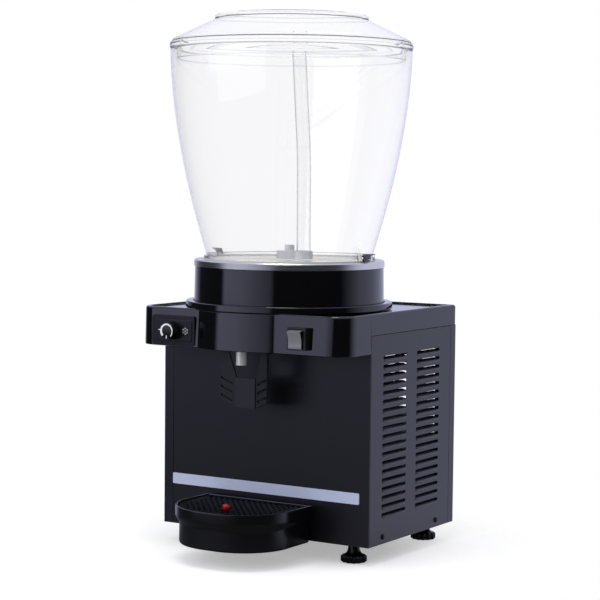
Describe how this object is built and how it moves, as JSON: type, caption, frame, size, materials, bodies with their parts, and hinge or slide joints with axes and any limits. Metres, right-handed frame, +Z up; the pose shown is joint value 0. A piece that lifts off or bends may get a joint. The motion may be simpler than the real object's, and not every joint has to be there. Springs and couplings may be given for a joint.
{
  "type": "cold drink dispenser",
  "caption": "Countertop cold drink dispenser: clear bowl over a chilled steel plate, spray tube pump, push lever tap, louvred black cabinet and drip tray.",
  "frame": {"origin": "On the surface the feet stand on, in the middle of the machine's outer box.", "axes": "+Z up, +X to the right as seen from the front, -Y is the front with the tap and the drip tray."},
  "size_m": [0.3338, 0.373, 0.7308],
  "materials": {
    "cabinet_paint": "satin",
    "strip_metal": "satin",
    "deck_black": "gloss",
    "black_plastic": "satin",
    "grey_plastic": "satin",
    "mark_white": "matte",
    "stainless": "brushed",
    "clear_plastic": "clear",
    "pump_grey": "satin",
    "seal_rubber": "matte",
    "black_rubber": "matte",
    "copper": "satin",
    "black_steel": "gloss",
    "zinc": "satin",
    "float_red": "gloss",
    "foam": "matte",
    "magnet": "matte"
  },
  "bodies": {
    "cabinet": {"base_pan": "cabinet_paint", "front_panel": "cabinet_paint", "left_panel": "cabinet_paint", "right_panel": "cabinet_paint", "rear_panel": "cabinet_paint", "panel_screws": "black_steel", "front_strip": "strip_metal", "top_deck": "deck_black", "control_plate": "grey_plastic", "plate_marks": "mark_white", "thermostat_body": "zinc", "switch_housing": "black_plastic", "drum_shell": "deck_black", "drum_foam": "foam", "cold_plate": "stainless", "evaporator_coil": "copper", "bowl_gasket": "seal_rubber", "pump_motor": "zinc", "compressor": "black_steel", "compressor_grommets": "black_rubber", "terminal_box": "black_plastic", "condenser": "black_steel", "fan_shroud": "zinc", "fan_motor": "zinc", "filter_drier": "copper", "discharge_pipe": "copper", "suction_pipe": "copper", "mains_gland": "black_plastic", "tap_bracket": "black_plastic", "lever_pin": "stainless", "valve_body": "black_plastic", "tap_spout": "stainless", "drain_pipe": "stainless", "valve_spring": "stainless"},
    "knob": {"thermostat_knob": "black_plastic", "knob_marks": "mark_white"},
    "rocker": {"switch_rocker": "grey_plastic"},
    "magnet": {"drive_magnet": "magnet"},
    "pump_wheel": {"impeller": "pump_grey"},
    "pump_cover": {"pump_cover": "pump_grey"},
    "spray_tube": {"spray_tube": "clear_plastic"},
    "bowl": {"bowl": "clear_plastic", "clip_pins": "stainless"},
    "clip_left": {"bowl_clip_left": "grey_plastic"},
    "clip_right": {"bowl_clip_right": "grey_plastic"},
    "lid": {"lid": "clear_plastic"},
    "lever": {"tap_lever": "black_plastic"},
    "plunger": {"valve_plunger": "grey_plastic", "valve_seal": "seal_rubber"},
    "tray": {"drip_tray": "black_plastic"},
    "grille": {"drip_grille": "black_plastic"},
    "float": {"tray_float": "float_red"},
    "fan": {"fan_blades": "zinc"},
    "foot_front_left": {"foot_front_left": "black_plastic"},
    "foot_front_right": {"foot_front_right": "black_plastic"},
    "foot_rear_left": {"foot_rear_left": "black_plastic"},
    "foot_rear_right": {"foot_rear_right": "black_plastic"}
  },
  "joints": [
    {"name": "knob_turn", "type": "hinge", "parent": "cabinet", "child": "knob", "pos_m": [-0.1025, -0.1199, 0.3015], "axis": [0, -1, 0], "range_deg": [-45, 270]},
    {"name": "rocker_tilt", "type": "hinge", "parent": "cabinet", "child": "rocker", "pos_m": [0.098, -0.125, 0.3015], "axis": [1, 0, 0], "range_deg": [-18, 0]},
    {"name": "magnet_spin", "type": "hinge", "parent": "cabinet", "child": "magnet", "pos_m": [0, 0.0095, 0.38], "axis": [0, 0, 1], "continuous": true},
    {"name": "pump_wheel_spin", "type": "hinge", "parent": "cabinet", "child": "pump_wheel", "pos_m": [0, 0.0095, 0.392], "axis": [0, 0, 1], "continuous": true},
    {"name": "pump_cover_lift", "type": "slide", "parent": "cabinet", "child": "pump_cover", "axis": [0, 0, 1], "range_m": [0, 0.03]},
    {"name": "spray_tube_pull", "type": "slide", "parent": "pump_cover", "child": "spray_tube", "axis": [-0.0383, 0, 0.9993], "range_m": [0, 0.02]},
    {"name": "bowl_lift", "type": "slide", "parent": "cabinet", "child": "bowl", "axis": [0, 0, 1], "range_m": [0, 0.3]},
    {"name": "clip_left_turn", "type": "hinge", "parent": "bowl", "child": "clip_left", "pos_m": [-0.121, 0.0095, 0.4021], "axis": [0, 1, 0], "range_deg": [0, 50]},
    {"name": "clip_right_turn", "type": "hinge", "parent": "bowl", "child": "clip_right", "pos_m": [0.121, 0.0095, 0.4021], "axis": [0, -1, 0], "range_deg": [0, 50]},
    {"name": "lid_lift", "type": "slide", "parent": "bowl", "child": "lid", "axis": [0, 0, 1], "range_m": [0, 0.1]},
    {"name": "lever_push", "type": "hinge", "parent": "cabinet", "child": "lever", "pos_m": [0, -0.0925, 0.29], "axis": [1, 0, 0], "range_deg": [0, 14], "stiffness_Nm_per_rad": 0.5},
    {"name": "plunger_lift", "type": "slide", "parent": "cabinet", "child": "plunger", "axis": [0, 0, 1], "range_m": [0, 0.00501], "deforming": ["valve_spring"]},
    {"name": "tray_slide", "type": "slide", "parent": "cabinet", "child": "tray", "axis": [0, -1, 0], "range_m": [0, 0.06]},
    {"name": "grille_lift", "type": "slide", "parent": "tray", "child": "grille", "axis": [0, 0, 1], "range_m": [0, 0.03]},
    {"name": "float_rise", "type": "slide", "parent": "tray", "child": "float", "axis": [0, 0, 1], "range_m": [0, 0.01]},
    {"name": "fan_spin", "type": "hinge", "parent": "cabinet", "child": "fan", "pos_m": [0.086, 0.065, 0.12], "axis": [1, 0, 0], "continuous": true},
    {"name": "foot_front_left_turn", "type": "hinge", "parent": "cabinet", "child": "foot_front_left", "pos_m": [-0.13, -0.0285, 0], "axis": [0, 0, 1], "continuous": true},
    {"name": "foot_rear_left_turn", "type": "hinge", "parent": "cabinet", "child": "foot_rear_left", "pos_m": [-0.13, 0.1645, 0], "axis": [0, 0, 1], "continuous": true},
    {"name": "foot_front_right_turn", "type": "hinge", "parent": "cabinet", "child": "foot_front_right", "pos_m": [0.13, -0.0285, 0], "axis": [0, 0, 1], "continuous": true},
    {"name": "foot_rear_right_turn", "type": "hinge", "parent": "cabinet", "child": "foot_rear_right", "pos_m": [0.13, 0.1645, 0], "axis": [0, 0, 1], "continuous": true}
  ],
  "couplings": [
    {"joint": "pump_wheel_spin", "follows": "magnet_spin", "ratio": 1},
    {"joint": "plunger_lift", "follows": "lever_push", "m_per_rad": 0.0205}
  ]
}
